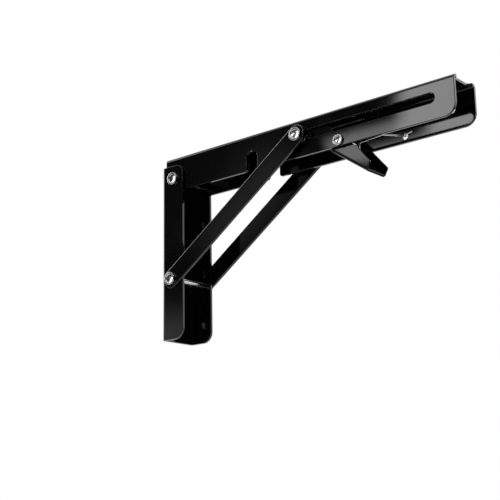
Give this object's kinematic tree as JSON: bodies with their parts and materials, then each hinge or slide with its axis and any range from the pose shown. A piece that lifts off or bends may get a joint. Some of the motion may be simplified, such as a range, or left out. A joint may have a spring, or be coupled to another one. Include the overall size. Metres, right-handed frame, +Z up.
{
  "type": "drop leaf table bracket",
  "caption": "Folding wall bracket: a channel arm hinged in a wall channel, held level by sliding struts and a sprung release lever, folding flat for a drop leaf.",
  "frame": {"origin": "middle of the wall channel's back face, which sits on the wall", "axes": "+X from the wall along the arm, +Z up towards the table top, +Y to the right of someone facing the wall"},
  "size_m": [0.3, 0.0494, 0.1659],
  "materials": {
    "black_paint": "gloss black paint",
    "zinc_steel": "bright zinc plating",
    "spring_wire": "drawn spring steel wire"
  },
  "bodies": {
    "wall": {"wall_channel": "black_paint", "hinge_pin": "zinc_steel", "foot_pin": "zinc_steel"},
    "arm": {"arm_channel": "black_paint", "lever_pin": "zinc_steel", "latch_spring": "spring_wire"},
    "struts": {"left_strut": "black_paint", "right_strut": "black_paint", "left_strut_rivet": "zinc_steel", "right_strut_rivet": "zinc_steel"},
    "sliders": {"left_slot_slider": "zinc_steel", "right_slot_slider": "zinc_steel"},
    "lever": {"release_lever": "black_paint"}
  },
  "joints": [
    {"name": "fold", "type": "hinge", "parent": "wall", "child": "arm", "pos_m": [0.0142, 0, 0.0664], "axis": [0, 1, 0], "range_deg": [0, 90]},
    {"name": "strut_swing", "type": "hinge", "parent": "wall", "child": "struts", "pos_m": [0.0142, 0, -0.0256], "axis": [0, 1, 0], "range_deg": [0, 122.66]},
    {"name": "slot_slide", "type": "slide", "parent": "arm", "child": "sliders", "axis": [1, 0, 0], "range_m": [0, 0.12265]},
    {"name": "lever_release", "type": "hinge", "parent": "arm", "child": "lever", "pos_m": [0.1939, 0, 0.06], "axis": [0, -1, 0], "range_deg": [0, 40], "stiffness_Nm_per_rad": 0.4, "springref_deg": -20.05, "deforming": ["latch_spring"]}
  ],
  "couplings": [
    {"joint": "strut_swing", "follows": "fold", "ratio": 1.3628},
    {"joint": "slot_slide", "follows": "fold", "m_per_rad": 0.078077}
  ]
}
